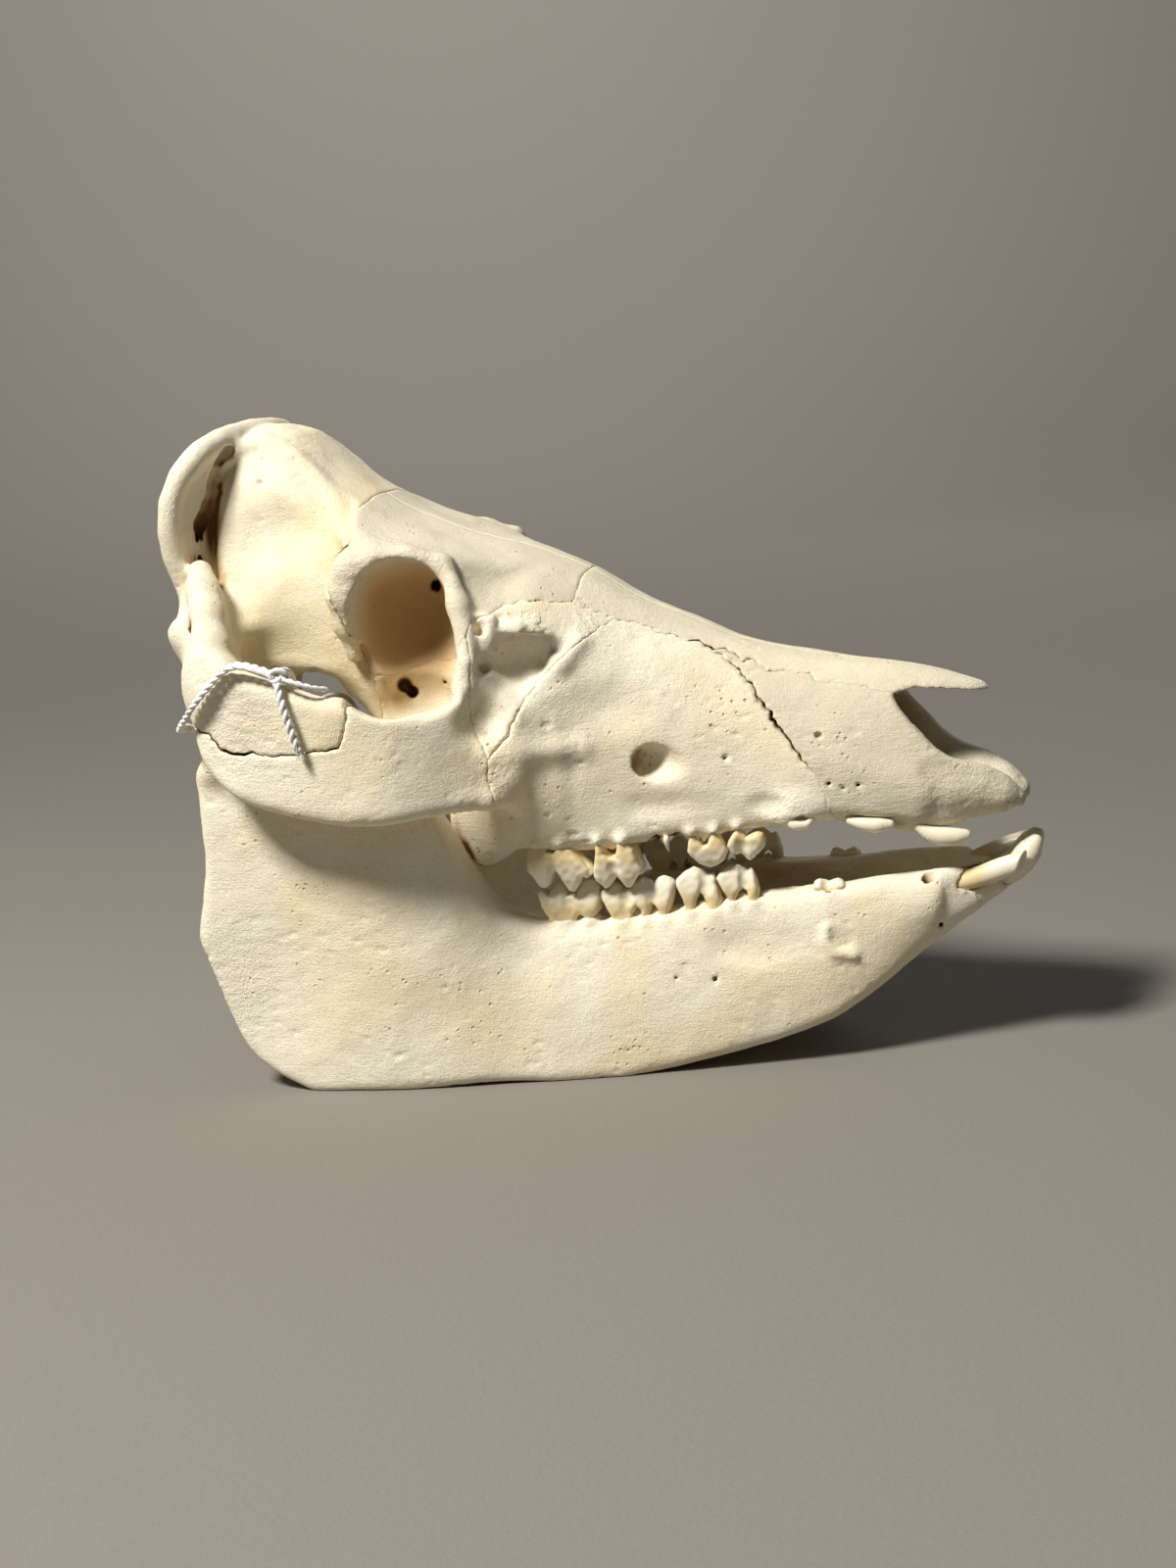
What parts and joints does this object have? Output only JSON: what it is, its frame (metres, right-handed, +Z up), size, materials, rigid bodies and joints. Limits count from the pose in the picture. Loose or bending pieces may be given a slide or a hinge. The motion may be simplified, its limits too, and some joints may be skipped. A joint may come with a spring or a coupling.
{
  "type": "pig skull",
  "caption": "Still life-size skull of a young domestic pig with its lower jaw in place and a cotton tie around one cheek arch, as shown on a museum table",
  "frame": {"origin": "middle of the bounding box at table level, under the lowest points of the jaw", "axes": "+X runs to the snout, +Y to the skull's left side, +Z up from the table"},
  "size_m": [0.22, 0.1284, 0.1728],
  "materials": {
    "braincase": "matte",
    "frontal": "matte",
    "nasal": "matte",
    "maxilla": "matte",
    "incisive": "matte",
    "zygomatic": "matte",
    "mandible": "matte",
    "string": "matte"
  },
  "bodies": {
    "root": {"braincase": "braincase", "frontal_left": "frontal", "frontal_right": "frontal", "nasal_left": "nasal", "nasal_right": "nasal", "maxilla_left": "maxilla", "maxilla_right": "maxilla", "incisive_left": "incisive", "incisive_right": "incisive", "zygomatic_left": "zygomatic", "zygomatic_right": "zygomatic", "mandible_left": "mandible", "mandible_right": "mandible", "tie_string": "string"}
  },
  "joints": []
}
